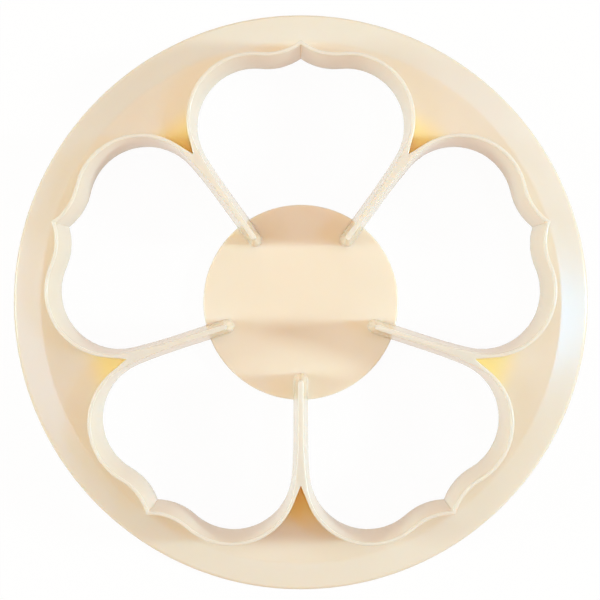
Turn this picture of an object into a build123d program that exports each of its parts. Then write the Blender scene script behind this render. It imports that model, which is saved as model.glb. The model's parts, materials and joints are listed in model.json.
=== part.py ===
from build123d import *
from math import asin, atan2, cos, pi, radians, sin, sqrt, tan
import os

# Five-petal flower cutter, one plastic moulding, divided at its natural features.
# Millimetres. Origin at the centre of the flat back face, +Z towards the cutting edge,
# +Y towards the top petal.

# Heights of the whole cutter and of its back plate
cutter_height = 12.5
plate_thickness = 2.0

# Rim: flat at the back, its front falls away to an outer edge that is rounded on both sides of a flat
rim_width = 5.3
rim_edge_thickness = 1.2
rim_edge_flat = 0.2
rim_back_round = 0.3

# Petal opening at the back face: two round lobes that meet in an ogee, whose tip points at the rim
lobe_radius = 11.1
ogee_radius = 11.5
tip_rise = 0.75
tip_to_rim = 3.0

# Petal blade: thickness at the cutting edge, and how far each side leans over the full height
blade_thickness = 0.65
inside_draft = 0.57
outside_draft = 0.55

# Disc in the middle
disc_radius = 18.6

# Divider between two petals: how far its rounded end stands in from the disc's edge, its length up
# to the throat, where it parts into two blades, its width, and how it flares into the lobes
divider_footing = 3.8
divider_length = 17.61
divider_base_width = 2.84
divider_edge_width = 0.98
throat_rise = 0.28
base_flare_angle = 4.5
edge_flare_angle = 8.0
pocket_angle = 22.0

# How far a cutting tool runs past the faces that it cuts
overrun = 1.0

# Petals counted anticlockwise from the top one, and the divider that follows each of them
petal_names = ["top", "upper_left", "lower_left", "lower_right", "upper_right"]
divider_names = ["top_left", "left", "bottom", "right", "top_right"]

# What follows from the sizes above
pitch = 360 / len(petal_names)
half_pitch = radians(pitch / 2)
divider_start = disc_radius - divider_footing
throat_radius = divider_start + divider_length
lobe_offset = divider_base_width / 2 + throat_rise + lobe_radius
lobe_reach = lobe_radius + sqrt(throat_radius ** 2 + lobe_offset ** 2)
tip_reach = lobe_reach + tip_rise
rim_inner_radius = tip_reach + tip_to_rim
rim_outer_radius = rim_inner_radius + rim_width
rim_front_round = rim_edge_thickness - rim_edge_flat - rim_back_round


def beside_divider(along, away):
    """Point in the petal's frame, a distance along its left divider and away from it into the petal."""
    x = along * cos(half_pitch) + away * sin(half_pitch)
    y = along * sin(half_pitch) - away * cos(half_pitch)
    return Vector(x, y)


def on_circle(centre, radius, angle):
    return centre + Vector(radius * cos(angle), radius * sin(angle))


def ogee_centre(lobe_centre):
    """Centre of the ogee: its circle passes through the petal's tip and touches the lobe from outside."""
    to_tip = Vector(tip_reach, 0) - lobe_centre
    both_radii = lobe_radius + ogee_radius
    along = (both_radii ** 2 - ogee_radius ** 2 + to_tip.length ** 2) / (2 * to_tip.length)
    across = sqrt(both_radii ** 2 - along ** 2)
    unit = to_tip.normalized()
    return lobe_centre + unit * along + Vector(-unit.Y, unit.X) * across


lobe = beside_divider(throat_radius, lobe_offset)
ogee = ogee_centre(lobe)
lobe_to_ogee = atan2(ogee.Y - lobe.Y, ogee.X - lobe.X)


def mirrored(points):
    """The points of one half of a petal's outline, last first, on the other side of its axis."""
    return [Vector(point.X, -point.Y) for point in reversed(points)]


def lobe_and_ogee(start_angle, offset):
    """Places on a lobe and its ogee, each arc as middle and end, the outline moved out by an offset."""
    big = lobe_radius + offset
    small = ogee_radius - offset
    tip_angle = pi + asin(ogee.Y / small)
    joint_angle = pi + lobe_to_ogee
    return [
        on_circle(lobe, big, (start_angle + lobe_to_ogee) / 2),
        on_circle(lobe, big, lobe_to_ogee),
        on_circle(ogee, small, (joint_angle + tip_angle) / 2),
        on_circle(ogee, small, tip_angle),
    ]


def closed_outline(straight, curved, height):
    """Wire at a height: straight runs from the petal's axis, arcs as middle and end, and the mirror image."""
    half_arcs = [straight[-1]] + curved
    arc_points = half_arcs + mirrored(half_arcs[:-1])
    edges = [Edge.make_line(a, b) for a, b in zip(straight, straight[1:])]
    for place in range(0, len(arc_points) - 2, 2):
        edges.append(Edge.make_three_point_arc(*arc_points[place:place + 3]))
    back = mirrored(straight)
    edges += [Edge.make_line(a, b) for a, b in zip(back, back[1:])]
    return Wire(edges).moved(Pos(0, 0, height))


def inside_outline(height):
    """Inner faces of a petal at a height: a divider's face, its flare, the lobe and the ogee, and back."""
    rise = height / cutter_height
    divider_half = (divider_base_width + (divider_edge_width - divider_base_width) * rise) / 2
    offset = inside_draft * rise
    flare = radians(base_flare_angle + (edge_flare_angle - base_flare_angle) * rise)
    flare_rise = lobe_offset - lobe_radius - offset - divider_half
    flare_radius = lobe_radius + offset + flare_rise / (1 - cos(flare))
    flare_start = throat_radius - flare_rise / tan(flare / 2)
    flare_points = [
        beside_divider(flare_start + flare_radius * sin(turn), divider_half + flare_radius * (1 - cos(turn)))
        for turn in (flare / 2, flare)
    ]
    straight = [Vector(divider_half / sin(half_pitch), 0), beside_divider(flare_start, divider_half)]
    lobe_start = pi / 2 + half_pitch - flare
    return closed_outline(straight, flare_points + lobe_and_ogee(lobe_start, offset), height)


def outside_outline(height):
    """Outer faces of a petal's blade at a height, closed through the petal's opening."""
    offset = inside_draft + blade_thickness + outside_draft * (1 - height / cutter_height)
    slope = radians(pocket_angle)
    radius = lobe_radius + offset
    touch_along = throat_radius + radius * sin(slope)
    touch_away = lobe_offset - radius * cos(slope)
    straight = [
        Vector(throat_radius / cos(half_pitch), 0),
        beside_divider(throat_radius, 0),
        beside_divider(touch_along - touch_away / tan(slope), 0),
        beside_divider(touch_along, touch_away),
    ]
    lobe_start = pi / 2 + half_pitch - slope
    return closed_outline(straight, lobe_and_ogee(lobe_start, offset), height)


def petal_opening():
    """Tool that cuts one petal's opening, in the petal's frame."""
    return Solid.make_loft([inside_outline(-overrun), inside_outline(cutter_height + overrun)], ruled=True)


opening = petal_opening()


def turned(shape, angle):
    return shape.moved(Rot(0, 0, angle))


def beside_openings(shape):
    """A shape in a divider's frame, cut by the openings of the petals on both sides of it."""
    return shape - turned(opening, pitch / 2) - turned(opening, -pitch / 2)


def petal_wall():
    blade = Solid.make_loft([outside_outline(plate_thickness), outside_outline(cutter_height)], ruled=True)
    return blade - opening


def web_panel():
    """Flat panel behind the pocket between two petals, up to the middle of each petal's tip."""
    corner = Vector(throat_radius, throat_radius * tan(half_pitch))
    rim_corner = on_circle(Vector(0, 0), rim_inner_radius, half_pitch)
    low_corner = Vector(corner.X, -corner.Y)
    low_rim_corner = Vector(rim_corner.X, -rim_corner.Y)
    outline = Wire([
        Edge.make_line(low_corner, corner),
        Edge.make_line(corner, rim_corner),
        Edge.make_three_point_arc(rim_corner, Vector(rim_inner_radius, 0), low_rim_corner),
        Edge.make_line(low_rim_corner, low_corner),
    ])
    return beside_openings(extrude(make_face(outline), plate_thickness))


def divider_wall():
    """Upright wall from the disc to the throat, with a rounded end that stands on the disc."""
    from_end = (Align.MIN, Align.CENTER, Align.MIN)
    from_flat_side = (Align.CENTER, Align.MIN, Align.MIN)
    base_radius, edge_radius = divider_base_width / 2, divider_edge_width / 2
    block = Box(throat_radius - divider_start, 2 * divider_base_width, cutter_height, align=from_end)
    end = Rot(0, 0, 90) * Cone(base_radius, edge_radius, cutter_height, arc_size=180, align=from_flat_side)
    wall = beside_openings(Pos(divider_start, 0, 0) * block) + Pos(divider_start, 0, 0) * end
    disc = Cylinder(disc_radius, plate_thickness + overrun, align=(Align.CENTER, Align.CENTER, Align.MAX))
    return wall - Pos(0, 0, plate_thickness) * disc


def rim_arc():
    """Piece of the rim behind a web panel, as far round as the panel."""
    profile = Polyline(
        (rim_inner_radius, 0),
        (rim_outer_radius, 0),
        (rim_outer_radius, rim_edge_thickness),
        (rim_inner_radius, plate_thickness),
        close=True,
    )
    section = make_face(profile)
    back, front = section.vertices().group_by(Axis.X)[-1].sort_by(Axis.Y)
    section = fillet(back, rim_back_round)
    front = section.vertices().sort_by_distance(front.center())[0]
    section = fillet(front, rim_front_round)
    return turned(revolve(Plane.XZ * section, Axis.Z, revolution_arc=pitch), -pitch / 2)


def centre_disc():
    return Cylinder(disc_radius, plate_thickness, align=(Align.CENTER, Align.CENTER, Align.MIN))


parts = {"centre_disc": centre_disc()}
blade, divider, panel, arc = petal_wall(), divider_wall(), web_panel(), rim_arc()
for place, (petal, between) in enumerate(zip(petal_names, divider_names)):
    petal_angle = 90 + pitch * place
    divider_angle = petal_angle + pitch / 2
    parts["petal_wall_" + petal] = turned(blade, petal_angle)
    parts["divider_wall_" + between] = turned(divider, divider_angle)
    parts["web_panel_" + between] = turned(panel, divider_angle)
    parts["rim_arc_" + between] = turned(arc, divider_angle)

os.makedirs("parts", exist_ok=True)
for name, shape in parts.items():
    export_step(shape, f"parts/{name}.step")
    print(name, len(shape.solids()), "solid", round(shape.volume, 2), "mm3")
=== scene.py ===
import bpy
import bmesh
import json
from math import asin, atan2, cos, degrees, hypot, pi, radians, sin, sqrt, tan
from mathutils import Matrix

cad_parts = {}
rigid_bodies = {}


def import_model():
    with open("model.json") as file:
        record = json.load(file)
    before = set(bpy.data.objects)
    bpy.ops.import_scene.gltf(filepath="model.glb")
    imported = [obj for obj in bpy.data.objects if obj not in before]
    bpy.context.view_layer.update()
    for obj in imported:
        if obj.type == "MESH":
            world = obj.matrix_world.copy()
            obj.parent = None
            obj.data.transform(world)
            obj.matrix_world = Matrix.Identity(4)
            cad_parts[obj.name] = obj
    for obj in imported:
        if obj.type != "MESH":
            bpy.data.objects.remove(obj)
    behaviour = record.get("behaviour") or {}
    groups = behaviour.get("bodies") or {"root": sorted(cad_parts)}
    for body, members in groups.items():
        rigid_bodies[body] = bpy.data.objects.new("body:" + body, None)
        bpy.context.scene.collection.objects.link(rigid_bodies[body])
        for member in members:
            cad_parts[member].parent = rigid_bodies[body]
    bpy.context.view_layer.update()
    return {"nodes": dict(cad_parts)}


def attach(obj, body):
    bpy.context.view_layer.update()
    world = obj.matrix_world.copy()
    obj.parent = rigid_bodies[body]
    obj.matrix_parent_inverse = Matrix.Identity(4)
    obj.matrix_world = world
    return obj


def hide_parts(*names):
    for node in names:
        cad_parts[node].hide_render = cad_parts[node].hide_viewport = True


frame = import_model()

mm = 0.001
petalCount = 5
halfPitch = pi / petalCount
firstDividerAngle = radians(54)

# Sizes of the moulding in millimetres, as the solids have them
cutter = {
    "height": 12.5, "plate": 2.0, "discRadius": 18.6,
    "dividerFooting": 3.8, "dividerLength": 17.61, "dividerBase": 2.84, "dividerEdge": 0.98,
    "throatRise": 0.28, "baseFlare": 4.5, "edgeFlare": 8.0,
    "lobeRadius": 11.1, "ogeeRadius": 11.5, "tipRise": 0.75, "tipToRim": 3.0,
    "blade": 0.65, "insideDraft": 0.57, "outsideDraft": 0.55, "pocketAngle": 22.0,
    "rimWidth": 5.3, "rimEdge": 1.2,
    # how finely the arcs are cut, in steps
    "noseSteps": 6, "flareSteps": 3, "neckSteps": 2, "lobeSteps": 28, "ogeeSteps": 9,
    "discSteps": 10, "rimSteps": 24,
}
# Each softened edge: its width in millimetres, its segments, and how sharply in degrees its faces must meet
softening = {
    "rimFront": {"width": 0.7, "segments": 5, "turn": 60},
    "rimBack": {"width": 0.3, "segments": 3, "turn": 60},
    "ridge": {"width": 0.3, "segments": 2, "turn": 5},
    "pocket": {"width": 0.28, "segments": 3, "turn": 20, "pastThroat": 5.0},
    "disc": {"width": 0.22, "segments": 3, "turn": 20},
    "land": {"width": 0.2, "segments": 4, "turn": 60},
    "back": {"width": 0.15, "segments": 3, "turn": 60},
    "smoothBelow": 35,  # degrees
}
# How close in millimetres counts as the same: a point drawn twice, the wedges' seams, a height, the ridge's arc
closeness = {"drawn": 1e-4, "seam": 1e-3, "height": 0.01, "arc": 0.05}


# ---- where the arcs of a petal's outline lie, seen from a divider along X with the petal on its +Y side
def outlinePlaces(c):
    start = c["discRadius"] - c["dividerFooting"]
    throat = start + c["dividerLength"]
    lobeY = c["dividerBase"] / 2 + c["throatRise"] + c["lobeRadius"]
    tipReach = c["lobeRadius"] + hypot(throat, lobeY) + c["tipRise"]
    toTip = (tipReach * cos(halfPitch) - throat, tipReach * sin(halfPitch) - lobeY)
    length = hypot(*toTip)
    both = c["lobeRadius"] + c["ogeeRadius"]
    along = (both ** 2 - c["ogeeRadius"] ** 2 + length ** 2) / (2 * length)
    across = sqrt(both ** 2 - along ** 2)
    ogee = (throat + (toTip[0] * along + toTip[1] * across) / length,
            lobeY + (toTip[1] * along - toTip[0] * across) / length)
    return {
        "start": start, "throat": throat, "lobe": (throat, lobeY), "ogee": ogee,
        "joint": atan2(ogee[1] - lobeY, ogee[0] - throat),
        "ogeeToAxis": ogee[0] * sin(halfPitch) - ogee[1] * cos(halfPitch),
        "rimInner": tipReach + c["tipToRim"], "rimOuter": tipReach + c["tipToRim"] + c["rimWidth"],
    }


place = outlinePlaces(cutter)


# ---- drawing with one vertex: place it, push it on, spin it about a centre
def penDown(x, y, z):
    bpy.ops.mesh.select_all(action="DESELECT")
    bpy.ops.mesh.primitive_plane_add(size=mm, location=(x * mm, y * mm, z * mm))
    bpy.ops.mesh.merge(type="CENTER")


def pushOn(x, y):
    bpy.ops.mesh.extrude_vertices_move(TRANSFORM_OT_translate={"value": (x * mm, y * mm, 0)})


def spinAbout(centre, z, angle, count):  # a positive angle turns anticlockwise
    bpy.ops.mesh.spin(steps=count, angle=-angle, center=(centre[0] * mm, centre[1] * mm, z * mm), axis=(0, 0, 1))


def nameLine(name):  # keeps what was just drawn under a name
    bpy.ops.mesh.select_linked()
    bpy.context.object.vertex_groups.new(name=name)
    bpy.ops.object.vertex_group_assign()


def selectLines(*names):
    bpy.ops.mesh.select_all(action="DESELECT")
    for name in names:
        bpy.ops.object.vertex_group_set_active(group=name)
        bpy.ops.object.vertex_group_select()


def bridgeLines(*names):
    selectLines(*names)
    bpy.ops.mesh.bridge_edge_loops()


def insideFacts(c, z):
    rise = z / c["height"]
    half = (c["dividerBase"] + (c["dividerEdge"] - c["dividerBase"]) * rise) / 2
    lobe = c["lobeRadius"] + c["insideDraft"] * rise
    flare = radians(c["baseFlare"] + (c["edgeFlare"] - c["baseFlare"]) * rise)
    flareRise = place["lobe"][1] - lobe - half
    flareRadius = lobe + flareRise / (1 - cos(flare))
    return {"half": half, "lobe": lobe, "flare": flare, "flareRadius": flareRadius,
            "flareStart": place["throat"] - flareRise / tan(flare / 2),
            "crossing": sqrt(c["discRadius"] ** 2 - half ** 2)}


def drawLobeAndOgee(c, z, lobeRadius, fromAngle, count):
    ogeeRadius = c["lobeRadius"] + c["ogeeRadius"] - lobeRadius
    spinAbout(place["lobe"], z, place["joint"] - fromAngle, count)
    tipAngle = pi - asin(place["ogeeToAxis"] / ogeeRadius) + halfPitch
    spinAbout(place["ogee"], z, tipAngle - (pi + place["joint"]), c["ogeeSteps"])


def drawInside(c, z, name, fromCrossing=False):
    f = insideFacts(c, z)
    neck = -pi / 2 + radians(c["pocketAngle"])
    if fromCrossing:
        penDown(f["crossing"], f["half"], z)
    else:
        penDown(place["start"] - f["half"], 0, z)
        spinAbout((place["start"], 0), z, -pi / 2, c["noseSteps"])
        pushOn(f["crossing"] - place["start"], 0)
    pushOn(f["flareStart"] - f["crossing"], 0)
    spinAbout((f["flareStart"], f["half"] + f["flareRadius"]), z, f["flare"], c["flareSteps"])
    spinAbout(place["lobe"], z, neck + pi / 2 - f["flare"], c["neckSteps"])
    drawLobeAndOgee(c, z, f["lobe"], neck, c["lobeSteps"])
    nameLine(name)


def outsideFacts(c, z):
    offset = c["insideDraft"] + c["blade"] + c["outsideDraft"] * (1 - z / c["height"])
    lobe = c["lobeRadius"] + offset
    slope = radians(c["pocketAngle"])
    touch = (place["throat"] + lobe * sin(slope), place["lobe"][1] - lobe * cos(slope))
    return {"lobe": lobe, "touch": touch, "apex": touch[0] - touch[1] / tan(slope), "neck": slope - pi / 2}


def drawOutside(c, z, name):
    f = outsideFacts(c, z)
    penDown(f["apex"], 0, z)
    for _ in range(c["neckSteps"]):
        pushOn((f["touch"][0] - f["apex"]) / c["neckSteps"], f["touch"][1] / c["neckSteps"])
    drawLobeAndOgee(c, z, f["lobe"], f["neck"], c["lobeSteps"])
    nameLine(name)


def drawLandAxis(c):  # the middle of the divider's edge, point by point beside its face
    z = c["height"]
    f, apex = insideFacts(c, z), outsideFacts(c, z)["apex"]
    stops = [place["start"] - f["half"] * cos(pi / 2 * i / c["noseSteps"]) for i in range(c["noseSteps"] + 1)]
    stops += [f["crossing"], f["flareStart"]]
    for i in range(1, c["flareSteps"] + 1):
        stops.append(f["flareStart"] + (apex - f["flareStart"]) * i / c["flareSteps"])
    penDown(stops[0], 0, z)
    for before, after in zip(stops, stops[1:]):
        pushOn(after - before, 0)
    nameLine("landAxis")


def drawRound(radius, z, fromAngle, count, name):
    penDown(radius * cos(fromAngle), radius * sin(fromAngle), z)
    spinAbout((0, 0), z, halfPitch - fromAngle, count)
    nameLine(name)


def nearest(bm, x, y, z):
    return min(bm.verts, key=lambda v: (v.co.x / mm - x) ** 2 + (v.co.y / mm - y) ** 2 + (v.co.z / mm - z) ** 2)


def linkPoints(first, second):
    bpy.ops.mesh.select_all(action="DESELECT")
    bm = bmesh.from_edit_mesh(bpy.context.object.data)
    for point in (first, second):
        nearest(bm, *point).select_set(True)
    bm.select_flush(True)
    bmesh.update_edit_mesh(bpy.context.object.data)
    bpy.ops.mesh.edge_face_add()


def fillRim(z, test):  # closes the flat region whose open edges lie at that height and pass the test
    bpy.ops.mesh.select_all(action="DESELECT")
    bm = bmesh.from_edit_mesh(bpy.context.object.data)
    for e in bm.edges:
        middle = (e.verts[0].co + e.verts[1].co) / 2 / mm
        level = all(abs(v.co.z / mm - z) < closeness["drawn"] for v in e.verts)
        if len(e.link_faces) < 2 and level and test(middle):
            e.select_set(True)
    bmesh.update_edit_mesh(bpy.context.object.data)
    bpy.ops.mesh.edge_face_add()


def onPetalAxis(radius, z):
    return radius * cos(halfPitch), radius * sin(halfPitch), z


def makeHalfWedge(c):  # from the middle of a divider to the middle of the petal beside it
    bpy.ops.object.select_all(action="DESELECT")
    bpy.ops.mesh.primitive_plane_add(size=mm)
    wedge = bpy.context.object
    wedge.name = "flowerCutter"
    bpy.ops.object.mode_set(mode="EDIT")
    bpy.ops.mesh.delete(type="VERT")
    bpy.ops.mesh.select_mode(type="VERT")
    top, plate = c["height"], c["plate"]
    onPlate, onBase = insideFacts(c, plate), insideFacts(c, 0)
    # lines that the moulding's walls run between
    drawInside(c, 0, "insideBase", fromCrossing=True)
    drawInside(c, plate, "insidePlate", fromCrossing=True)
    penDown(place["start"] - onPlate["half"], 0, plate)
    spinAbout((place["start"], 0), plate, -pi / 2, c["noseSteps"])
    pushOn(onPlate["crossing"] - place["start"], 0)
    nameLine("footOnDisc")
    drawInside(c, top, "insideTop")
    drawLandAxis(c)
    drawOutside(c, top, "outsideTop")
    drawOutside(c, plate, "outsidePlate")
    for z, f, name in ((0, onBase, "discBack"), (plate, onPlate, "discFront")):
        drawRound(c["discRadius"], z, atan2(f["half"], f["crossing"]), c["discSteps"], name)
    drawRound(place["rimInner"], plate, 0, c["rimSteps"], "ridge")
    drawRound(place["rimOuter"], c["rimEdge"], 0, c["rimSteps"], "rimFront")
    drawRound(place["rimOuter"], 0, 0, c["rimSteps"], "rimBack")
    # walls, and then those whose line is drawn in two strokes
    for pair in (("insideBase", "insidePlate"), ("outsideTop", "outsidePlate"), ("discBack", "discFront"),
                 ("ridge", "rimFront"), ("rimFront", "rimBack")):
        bridgeLines(*pair)
    for strokes in (("footOnDisc", "insidePlate"), ("landAxis", "outsideTop")):
        selectLines(*strokes)
        bpy.ops.mesh.remove_doubles(threshold=closeness["drawn"] * mm)
        bridgeLines(*strokes, "insideTop")
    bpy.ops.mesh.select_all(action="SELECT")
    bpy.ops.mesh.remove_doubles(threshold=closeness["drawn"] * mm)
    # flats
    foot = outsideFacts(c, plate)
    footTip = place["rimInner"] - c["tipToRim"] + foot["lobe"] - c["lobeRadius"]
    linkPoints((foot["apex"], 0, plate), (place["rimInner"], 0, plate))
    linkPoints(onPetalAxis(footTip, plate), onPetalAxis(place["rimInner"], plate))
    fillRim(plate, lambda p: p.x > place["throat"] and p.y > -closeness["height"])
    penDown(0, 0, plate)
    linkPoints((0, 0, plate), (place["start"] - onPlate["half"], 0, plate))
    linkPoints((0, 0, plate), onPetalAxis(c["discRadius"], plate))
    fillRim(plate, lambda p: hypot(p.x, p.y) < c["discRadius"] + closeness["height"])
    penDown(0, 0, 0)
    linkPoints((0, 0, 0), (place["rimOuter"], 0, 0))
    linkPoints((0, 0, 0), onPetalAxis(c["discRadius"], 0))
    linkPoints(onPetalAxis(place["rimInner"] - c["tipToRim"], 0), onPetalAxis(place["rimOuter"], 0))
    fillRim(0, lambda p: True)
    bpy.ops.object.mode_set(mode="OBJECT")
    return wedge


flower = makeHalfWedge(cutter)
print("half wedge", len(flower.data.vertices), "points", len(flower.data.polygons), "faces")


def makeWholeFlower(flower, c):
    same = closeness["seam"]
    mirror = flower.modifiers.new("otherHalf", "MIRROR")
    mirror.use_axis = (False, True, False)
    mirror.merge_threshold = same * mm
    bpy.ops.object.modifier_apply(modifier=mirror.name)
    bpy.ops.object.mode_set(mode="EDIT")
    bpy.ops.mesh.select_mode(type="EDGE")
    bpy.ops.mesh.select_all(action="DESELECT")
    bm = bmesh.from_edit_mesh(flower.data)
    for e in bm.edges:  # the line down the middle of the web, no longer needed
        ends = [v.co / mm for v in e.verts]
        if all(abs(p.y) < same and abs(p.z - c["plate"]) < same and p.x > place["throat"] for p in ends):
            e.select_set(True)
    bmesh.update_edit_mesh(flower.data)
    bpy.ops.mesh.dissolve_edges(use_verts=False)
    bpy.ops.mesh.select_mode(type="VERT")
    bpy.ops.mesh.select_all(action="SELECT")
    # with no window, rotate turns the other way
    bpy.ops.transform.rotate(value=-firstDividerAngle, orient_axis="Z", center_override=(0, 0, 0))
    for _ in range(petalCount - 1):
        bpy.ops.mesh.duplicate()
        bpy.ops.transform.rotate(value=2 * pi / petalCount, orient_axis="Z", center_override=(0, 0, 0))
    bpy.ops.mesh.select_all(action="SELECT")
    bpy.ops.mesh.remove_doubles(threshold=same * mm)
    bpy.ops.mesh.normals_make_consistent(inside=False)
    bpy.ops.object.mode_set(mode="OBJECT")


makeWholeFlower(flower, cutter)
print("whole flower", len(flower.data.vertices), "points", len(flower.data.polygons), "faces")


# ---- softened edges, chosen by height, distance from the axis and how sharply their faces meet
def edgeFacts(e):
    a, b = (v.co / mm for v in e.verts)
    return {"low": min(a.z, b.z), "high": max(a.z, b.z), "near": min(a.xy.length, b.xy.length),
            "far": max(a.xy.length, b.xy.length), "turn": degrees(e.calc_face_angle(0)),
            "hollow": not e.is_convex}


def softenEdges(name, test):
    s = softening[name]
    bpy.ops.mesh.select_mode(type="EDGE")
    bpy.ops.mesh.select_all(action="DESELECT")
    bm = bmesh.from_edit_mesh(flower.data)
    facts = [(e, edgeFacts(e)) for e in bm.edges]
    chosen = [e for e, f in facts if f["turn"] > s["turn"] and test(f)]
    for e in chosen:
        e.select_set(True)
    bmesh.update_edit_mesh(flower.data)
    bpy.ops.mesh.bevel(offset_type="OFFSET", offset=s["width"] * mm, segments=s["segments"], affect="EDGES")
    print("softened", name, len(chosen), "edges")


def softenFlower(c):
    inner, same, arc = place["rimInner"], closeness["height"], closeness["arc"]
    atOuter = place["rimOuter"] - same
    onFront, underFront, onTop = c["plate"] - same, c["plate"] + same, c["height"] - same
    pocketEnd = place["throat"] + softening["pocket"]["pastThroat"]
    bpy.ops.object.mode_set(mode="EDIT")
    softenEdges("rimFront", lambda f: f["near"] > atOuter and abs(f["low"] - c["rimEdge"]) < same
                and abs(f["high"] - c["rimEdge"]) < same)
    softenEdges("rimBack", lambda f: f["near"] > atOuter and f["high"] < same)
    softenEdges("ridge", lambda f: abs(f["near"] - inner) < arc and f["low"] > onFront)
    softenEdges("pocket", lambda f: f["hollow"] and f["low"] > onFront and f["near"] > place["throat"]
                and (f["high"] < underFront or f["far"] < pocketEnd))
    softenEdges("disc", lambda f: f["far"] < c["discRadius"] + same and same < f["high"] < underFront)
    softenEdges("land", lambda f: f["low"] > onTop)
    softenEdges("back", lambda f: f["high"] < same and f["far"] < inner)
    bpy.ops.object.mode_set(mode="OBJECT")
    bpy.ops.object.shade_smooth_by_angle(angle=radians(softening["smoothBelow"]))
    even = flower.modifiers.new("evenNormals", "WEIGHTED_NORMAL")
    even.keep_sharp = True
    bpy.ops.object.modifier_apply(modifier=even.name)


softenFlower(cutter)
print("softened flower", len(flower.data.vertices), "points", len(flower.data.polygons), "faces")


# ---- shader maths: a socket that adds its own nodes
class Socket:
    def __init__(self, tree, out):
        self.tree, self.out = tree, out

    def _math(self, operation, first, second=0.0):
        return node(self.tree, "ShaderNodeMath", {"operation": operation}, {0: first, 1: second})

    def __add__(self, other):
        return self._math("ADD", self, other)

    def __sub__(self, other):
        return self._math("SUBTRACT", self, other)

    def __rsub__(self, other):
        return self._math("SUBTRACT", other, self)

    def __mul__(self, other):
        return self._math("MULTIPLY", self, other)

    __radd__, __rmul__ = __add__, __mul__

    def power(self, exponent):
        return self._math("POWER", self, exponent)

    def sine(self):
        return self._math("SINE", self)

    def cosine(self):
        return self._math("COSINE", self)

    def absolute(self):
        return self._math("ABSOLUTE", self)

    def clamped(self):
        made = self._math("MULTIPLY", self, 1.0)
        made.out.node.use_clamp = True
        return made


def node(tree, kind, settings=None, values=None, out=0):  # a node that ends a tree has no socket to give back
    made = tree.nodes.new(kind)
    for name, value in (settings or {}).items():
        setattr(made, name, value)
    for key, value in (values or {}).items():
        if isinstance(value, Socket):
            tree.links.new(value.out, made.inputs[key])
        else:
            made.inputs[key].default_value = value
    return Socket(tree, made.outputs[out]) if len(made.outputs) else made


def newMaterial(name):
    material = bpy.data.materials.new(name)
    material.use_nodes = True
    material.node_tree.nodes.clear()
    return material, material.node_tree


# Colours are linear. The cutting edges differ a little from the flats. The narrow end of the pockets is painted
# orange: a painted shade that stands for light thrown back and passed through the plastic there.
# A fade gives, in millimetres, where it is 0 and where it is 1.
plastic = {
    "body": (0.865, 0.790, 0.685, 1), "cloudy": (0.860, 0.775, 0.660, 1),
    # pocket: the painted orange shade for the narrow end of the pockets
    "rim": (0.860, 0.805, 0.720, 1), "land": (0.785, 0.760, 0.715, 1), "pocket": (1.0, 0.820, 0.440, 1),
    "rimFade": (place["rimInner"] - 0.3, place["rimInner"] + 0.7),
    "landFade": (12.1, 12.4), "paintedShadeTopFade": (11.5, 6.5), "paintedShadeFootFade": (1.6, 1.9),
    "paintedShadeEndFade": (44.0, 38.0), "paintedShadeWallFade": (0.75, 0.35), "paintedShadePastThroat": 1.6,
    "cloudScale": 45.0, "cloudDetail": 3.0, "cloudRoughness": 0.55,
    "flowScale": 120.0, "flowHeight": 0.02 * mm, "grainScale": 2600.0, "grainHeight": 0.002 * mm, "fineDetail": 2.0,
    "roughness": 0.20, "roughnessSwing": 0.03, "ior": 1.49,
    "scatter": (0.7, 0.6, 0.5), "scatterDepth": 1.5 * mm,
}


def fade(tree, value, span):  # 0 at the first place of the span, 1 at the second, smooth between them
    return node(tree, "ShaderNodeMapRange", {"interpolation_type": "SMOOTHSTEP"},
                {"Value": value, "From Min": span[0] * mm, "From Max": span[1] * mm, "To Min": 0.0, "To Max": 1.0})


def mixed(tree, share, first, second):
    return node(tree, "ShaderNodeMix", {"data_type": "RGBA"}, {0: share, 6: first, 7: second}, out=2)


def noise(tree, spot, values):
    return node(tree, "ShaderNodeTexNoise", {}, {"Vector": spot, **values})


def paintedPocketShade(tree, x, y, z, p):  # where the painted orange shade goes: 1 in the narrow end of the pockets, 0 on the petals' inner walls and the back
    angle = node(tree, "ShaderNodeMath", {"operation": "ARCTAN2"}, {0: y, 1: x})
    turns = (angle - firstDividerAngle) * (petalCount / (2 * pi)) + 0.5
    away = node(tree, "ShaderNodeMath", {"operation": "FLOORED_MODULO"}, {0: turns, 1: 1.0}) - 0.5
    away = away * (2 * pi / petalCount)
    reach = (x * x + y * y).power(0.5)
    along = reach * away.cosine()
    across = (reach * away.sine()).absolute()
    slope = radians(cutter["pocketAngle"])
    apex = (place["throat"] + p["paintedShadePastThroat"]) * mm
    beyond = across * cos(slope) - (along - apex) * sin(slope)
    share = fade(tree, beyond, p["paintedShadeWallFade"]) * fade(tree, along, p["paintedShadeEndFade"])
    return share * fade(tree, z, p["paintedShadeFootFade"]) * fade(tree, z, p["paintedShadeTopFade"])


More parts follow.
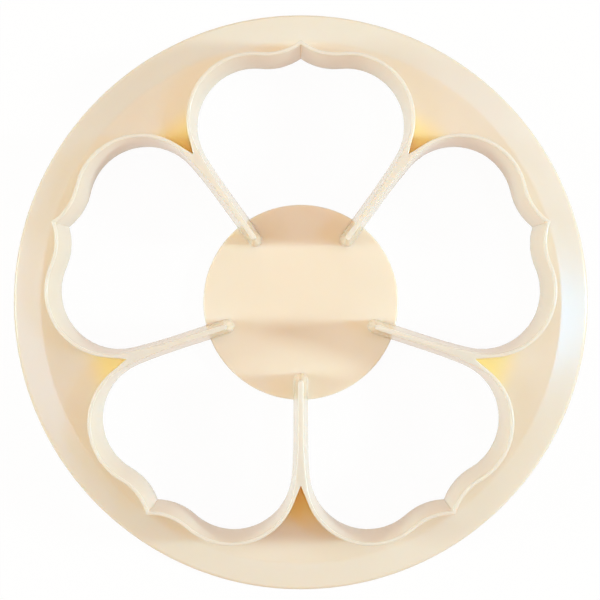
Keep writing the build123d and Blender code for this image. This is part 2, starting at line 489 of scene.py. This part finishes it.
def makeIvory(p):
    material, tree = newMaterial("ivoryPlastic")
    spot = node(tree, "ShaderNodeTexCoord", out="Object")
    parts = node(tree, "ShaderNodeSeparateXYZ", {}, {0: spot})
    x, y, z = (Socket(tree, parts.out.node.outputs[i]) for i in range(3))
    cloud = noise(tree, spot, {"Scale": p["cloudScale"], "Detail": p["cloudDetail"], "Roughness": p["cloudRoughness"]})
    flow = noise(tree, spot, {"Scale": p["flowScale"], "Detail": p["fineDetail"]})
    grain = noise(tree, spot, {"Scale": p["grainScale"], "Detail": p["fineDetail"]})
    colour = mixed(tree, cloud, p["body"], p["cloudy"])
    reach = (x * x + y * y).power(0.5)
    colour = mixed(tree, fade(tree, reach, p["rimFade"]), colour, p["rim"])
    # painted shade: the narrow end of the pockets is coloured orange for light thrown back and passed through the
    # plastic there
    colour = mixed(tree, paintedPocketShade(tree, x, y, z, p), colour, p["pocket"])
    colour = mixed(tree, fade(tree, z, p["landFade"]), colour, p["land"])
    rough = flow * (2 * p["roughnessSwing"]) + (p["roughness"] - p["roughnessSwing"])
    height = flow * p["flowHeight"] + grain * p["grainHeight"]
    bump = node(tree, "ShaderNodeBump", {}, {"Height": height, "Strength": 1.0, "Distance": 1.0})
    shader = node(tree, "ShaderNodeBsdfPrincipled", {}, {
        "Base Color": colour, "Roughness": rough, "IOR": p["ior"], "Normal": bump,
        "Subsurface Weight": 1.0, "Subsurface Radius": p["scatter"], "Subsurface Scale": p["scatterDepth"],
    })
    node(tree, "ShaderNodeOutputMaterial", {}, {"Surface": shader})
    return material


flower.data.materials.append(makeIvory(plastic))
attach(flower, "root")
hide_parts(*frame["nodes"])
print("plastic finished")


# ---- studio: camera straight above, a white floor, two low lamps at the sides and six softer ones round about.
# The floor and the surroundings are white to the camera, and throw a warmer light on the plastic.
studio = {
    "camera": (-0.154 * mm, 0.44 * mm, 281 * mm), "lens": 87.8, "sensor": 36, "clip": (0.01, 50),
    "floorSize": 6.0, "floorDrop": 0.05 * mm, "floorBounce": (0.60, 0.49, 0.35, 1),
    "floorSeen": (0.95, 0.95, 0.95, 1), "floorGlow": 0.95,
    "white": (1, 1, 1, 1), "fill": (0.55, 0.35, 0.10, 1), "bounces": 12, "lampDistance": 0.8,
    "lamps": {
        "key": {"azimuth": 0, "elevation": 25, "size": 0.12, "power": 3.55, "colour": (0.65, 0.93, 1)},
        "left": {"azimuth": 180, "elevation": 25, "size": 0.25, "power": 2.4, "colour": (0.65, 0.94, 1)},
        "glow": {"azimuth": -3, "elevation": 62, "size": 0.15, "power": 1.0, "colour": (0.1, 0.5, 1)},
        "rightSoft": {"azimuth": 38, "elevation": 62, "size": 0.34, "power": 0.58, "colour": (0.55, 0.63, 1)},
        "leftSoft": {"azimuth": 188, "elevation": 62, "size": 0.32, "power": 1.0, "colour": (0.43, 0.65, 1)},
        "topSoft": {"azimuth": 90, "elevation": 32, "size": 0.4, "power": 0.42, "colour": (1, 0.86, 0.86)},
        "overhead": {"azimuth": 90, "elevation": 85, "size": 0.3, "power": 0.44, "colour": (1, 0.5, 0.1)},
        "bottomSoft": {"azimuth": 270, "elevation": 20, "size": 0.4, "power": 0.3, "colour": (1, 0.1, 0.02)},
    },
}


def addCamera(s):
    bpy.ops.object.camera_add(location=s["camera"], rotation=(0, 0, 0))
    camera = bpy.context.object
    camera.name = "photoCamera"
    camera.data.lens, camera.data.sensor_width, camera.data.sensor_fit = s["lens"], s["sensor"], "HORIZONTAL"
    camera.data.clip_start, camera.data.clip_end = s["clip"]
    bpy.context.scene.camera = camera


def addLamp(s, name, lamp):
    turn, rise = radians(lamp["azimuth"]), radians(lamp["elevation"])
    d = s["lampDistance"]
    at = (d * cos(rise) * cos(turn), d * cos(rise) * sin(turn), d * sin(rise))
    bpy.ops.object.light_add(type="AREA", location=at, rotation=(0, pi / 2 - rise, turn))
    light = bpy.context.object
    light.name = name
    light.data.shape, light.data.size, light.data.energy = "DISK", lamp["size"], lamp["power"]
    light.data.color = lamp["colour"]


def seenOrMirrored(tree):
    path = node(tree, "ShaderNodeLightPath")
    rays = [Socket(tree, path.out.node.outputs[name])
            for name in ("Is Camera Ray", "Is Glossy Ray", "Is Transmission Ray")]
    return (rays[0] + rays[1] + rays[2]).clamped()


def makeWorld(s):
    world = bpy.data.worlds.new("studio")
    world.use_nodes = True
    bpy.context.scene.world = world
    tree = world.node_tree
    tree.nodes.clear()
    shade = mixed(tree, seenOrMirrored(tree), s["fill"], s["white"])
    sky = node(tree, "ShaderNodeBackground", {}, {"Color": shade, "Strength": 1.0})
    node(tree, "ShaderNodeOutputWorld", {}, {"Surface": sky})


def makeFloor(s):
    bpy.ops.mesh.primitive_plane_add(size=s["floorSize"], location=(0, 0, -s["floorDrop"]))
    floor = bpy.context.object
    floor.name = "floor"
    bpy.ops.object.transform_apply(location=True)
    material, tree = newMaterial("whiteFloor")
    seen = seenOrMirrored(tree)
    paint = node(tree, "ShaderNodeBsdfDiffuse", {}, {"Color": mixed(tree, seen, s["floorBounce"], s["floorSeen"])})
    glow = node(tree, "ShaderNodeEmission", {}, {"Color": s["white"], "Strength": 1.0})
    both = node(tree, "ShaderNodeMixShader", {}, {0: seen * s["floorGlow"], 1: paint, 2: glow})
    node(tree, "ShaderNodeOutputMaterial", {}, {"Surface": both})
    floor.data.materials.append(material)


bpy.ops.object.select_all(action="DESELECT")
addCamera(studio)
for name, lamp in studio["lamps"].items():
    addLamp(studio, name, lamp)
makeWorld(studio)
makeFloor(studio)
bpy.context.scene.view_settings.view_transform = "Standard"
bpy.context.scene.cycles.diffuse_bounces = studio["bounces"]  # light is thrown back many times in the pockets
print("studio lit")
